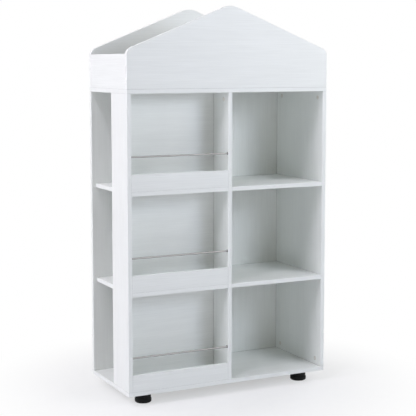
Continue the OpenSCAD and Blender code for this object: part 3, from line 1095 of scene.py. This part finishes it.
# %% [markdown]
# ## Dowels and sockets
# A dowel is a beech pin with chamfered ends and fine flutes along it. A socket is a black
# sleeve with a thin flange: the flange is all that shows, as a dark spot round the end of
# each rod.

# %% Set out dowels and sockets
DOWEL_R, DOWEL_LENGTH, DOWEL_CHAMFER = 4 * MM, 30 * MM, 1 * MM
DOWEL_SIDES, FLUTE_DEPTH = 24, 0.35 * MM
dowel = lathe("dowel", pin(DOWEL_R, DOWEL_LENGTH, DOWEL_CHAMFER), DOWEL_SIDES, flute=FLUTE_DEPTH)
set_out("dowels", dowel, longest, BEECH, "beech", seed=17)

FLANGE_R, FLANGE_H, SLEEVE_R, SLEEVE_LENGTH = 4.75 * MM, 1.5 * MM, 4 * MM, 9.5 * MM
HOLE_R, HOLE_EASE = 3.1 * MM, 0.4 * MM
FLANGE_ROUND, FLANGE_STEPS = 0.6 * MM, 4
SOCKET_SIDES = 40


def across_the_bay(_size):
    """The axis of a socket is always X, whatever its size, because its rail runs along X."""
    return 0


socket = lathe(
    "rail_socket",
    [(HOLE_R + HOLE_EASE, 0)]
    + arc((FLANGE_R - FLANGE_ROUND, -FLANGE_ROUND), FLANGE_ROUND, 90, 0, FLANGE_STEPS)
    + [(FLANGE_R, -FLANGE_H), (SLEEVE_R, -FLANGE_H)]
    + [(SLEEVE_R, -SLEEVE_LENGTH), (HOLE_R, -SLEEVE_LENGTH), (HOLE_R, -HOLE_EASE)],
    SOCKET_SIDES,
    closed=True,
)
set_out("rail_sockets", socket, across_the_bay, SOCKET_BLACK, "socket_black", seed=19, turn=0.0)

# %% [markdown]
# ## The floor
# A product picture has no horizon. The floor is a pale painted surface that carries the soft
# shadow, and it fades into plain white within a metre. Even under the bookcase a part of the
# white is mixed in, because the studio floor of the photo is lit, overexposed paper. Only the
# camera, mirror-like reflections and light through glass see that white. Other rays find the
# painted floor everywhere, so the light on the bookcase stays even.

# %% Floor with a fade to white
FLOOR_REACH = 12.0
SPECKLE_SIZE, SPECKLE_DEPTH = 40 * MM, 0.05 * MM
FADE_START, FADE_END = 0.2, 0.92
WHITE_NEAR = 0.46


def sees_white(tree):
    """1 for the rays that see the white background: camera, mirror-like and through glass."""
    path = add(tree, "ShaderNodeLightPath").outputs
    seen = path["Is Camera Ray"]
    for other in ("Is Glossy Ray", "Is Transmission Ray"):
        both = add(tree, "ShaderNodeMath", {"operation": "MAXIMUM"}, {0: seen, 1: path[other]})
        seen = both.outputs[0]
    return seen


def studio_floor():
    # Rolled matt paint has no reflection, only a faint cloudiness and the soft shadow.
    made, tree, shader = new_material("studio_floor", Roughness=0.7)
    speckle = streaks(tree, "X", SPECKLE_SIZE, SPECKLE_SIZE)
    tone = tones(tree, speckle, "#f2f3f5", "#eff0f3")
    surface(tree, shader, tone, speckle, SPECKLE_DEPTH, 0.2)
    place = add(tree, "ShaderNodeTexCoord").outputs["Object"]
    far = add(tree, "ShaderNodeVectorMath", {"operation": "LENGTH"}, {0: place}).outputs["Value"]
    spread = {"Value": far, "From Min": FADE_START, "From Max": FADE_END, "To Min": WHITE_NEAR}
    fade = add(tree, "ShaderNodeMapRange", {"interpolation_type": "SMOOTHSTEP"}, spread)
    both = {0: fade.outputs["Result"], 1: sees_white(tree)}
    white_part = add(tree, "ShaderNodeMath", {"operation": "MULTIPLY"}, both).outputs[0]
    white = add(tree, "ShaderNodeEmission", inputs={"Color": (1, 1, 1, 1), "Strength": 1.0})
    parts = {0: white_part, 1: shader.outputs["BSDF"], 2: white.outputs["Emission"]}
    mixed = add(tree, "ShaderNodeMixShader", inputs=parts)
    output = next(n for n in tree.nodes if n.type == "OUTPUT_MATERIAL")
    tree.links.new(mixed.outputs["Shader"], output.inputs["Surface"])
    return made


floor_mesh = bpy.data.meshes.new("floor")
signs = ((-1, -1), (1, -1), (1, 1), (-1, 1))
corners = [(FLOOR_REACH * x, FLOOR_REACH * y, 0) for x, y in signs]
floor_mesh.from_pydata(corners, [], [(0, 1, 2, 3)])
floor_mesh.materials.append(studio_floor())
floor = in_scene("floor", floor_mesh)
print(f"Floor: {2 * FLOOR_REACH:.0f} m square, white from {FADE_END:.2f} m out")

# %% [markdown]
# ## Background and lamps
# The camera and mirror-like reflections see a white background of strength 1. Every other
# ray meets a weak, even studio light. The lamps were found from the photo: a picture was made
# with each lamp alone, and the strengths are the mix that comes closest to the real shading.
# Three soft boxes on the left make that side the brightest. The one behind the corner
# reaches into the niches, the high one reaches down into the roof tray, and the low one just
# grazes the front, so it lights only the first centimetres of each inner face that looks
# left. The front gets its cool light from the right, with a small lamp close by that makes
# it fall off towards the left, and two weak lamps on the left fill the shadows. The last
# lamp is not in the photo: it keeps the right side and the back readable from other views.

# %% World and lamps
AMBIENT = 0.05
world = bpy.data.worlds.new("studio")
bpy.context.scene.world = world
world.use_nodes = True
sky = world.node_tree
sky.nodes.clear()
around = add(sky, "ShaderNodeBackground", inputs={"Color": (1, 1, 1, 1), "Strength": AMBIENT})
behind = add(sky, "ShaderNodeBackground", inputs={"Color": (1, 1, 1, 1), "Strength": 1.0})
parts = {0: sees_white(sky), 1: around.outputs[0], 2: behind.outputs[0]}
chosen = add(sky, "ShaderNodeMixShader", inputs=parts)
sky_output = add(sky, "ShaderNodeOutputWorld")
sky.links.new(chosen.outputs[0], sky_output.inputs["Surface"])

AIM = Vector((0, 0, 0.7))
# name: (azimuth, elevation, distance, size, watts, colour). Azimuth 0 is in front, 90 is right.
LAMPS = {
    "soft_box_behind_left": (-130, 30, 8.0, 2.8, 162, "#fbf8ff"),
    "soft_box_high_left": (-84, 45, 6.0, 1.2, 68, "#fbf8ff"),
    "soft_box_low_left": (-82, 12, 5.0, 1.4, 54, "#fbf8ff"),
    "high_front_left": (-52, 55, 4.0, 0.8, 35, "#f6f3ff"),
    "front_left": (-20, 12, 4.0, 1.4, 4, "#fff8e0"),
    "front_right": (24, 19, 4.0, 1.2, 38, "#e4edff"),
    "near_right": (38, 28, 2.2, 0.8, 9, "#fffcf7"),
    "behind_right": (118, 25, 4.0, 1.4, 30, "#ffffff"),
}
for lamp_name, (azimuth, elevation, distance, size, watts, tint) in LAMPS.items():
    turn, lift = math.radians(azimuth), math.radians(elevation)
    away = Vector(
        (math.sin(turn) * math.cos(lift), -math.cos(turn) * math.cos(lift), math.sin(lift))
    )
    light = bpy.data.lights.new(lamp_name, "AREA")
    light.size = size
    light.energy = watts
    light.color = linear(tint)[:3]
    lamp = in_scene(lamp_name, light)
    lamp.location = AIM + away * distance
    lamp.rotation_euler = (-away).to_track_quat("-Z", "Y").to_euler()
print("Lamps:", list(LAMPS))

# %% [markdown]
# ## The camera
# Lens, place and tilt were solved from straight edges in the photo. The camera looks down by
# 6 degrees and the small shift brings the bookcase back to the middle of the frame.

# %% Camera
SENSOR_WIDTH, FOCAL_LENGTH = 36, 98.82
SHIFT_UP = -0.0632
CAMERA_PLACE = (-1.9059, -3.76204, 1.20452)
CAMERA_PITCH, CAMERA_TURN = 84, -26.83
camera_data = bpy.data.cameras.new("camera")
camera_data.sensor_width = SENSOR_WIDTH
camera_data.lens = FOCAL_LENGTH
camera_data.shift_y = SHIFT_UP
camera = in_scene("camera", camera_data)
camera.location = CAMERA_PLACE
camera.rotation_euler = (math.radians(CAMERA_PITCH), 0, math.radians(CAMERA_TURN))
bpy.context.scene.camera = camera
bpy.context.scene.view_settings.view_transform = "Standard"
print(f"Camera: {FOCAL_LENGTH} mm lens, {camera.location.length:.2f} m from the origin")
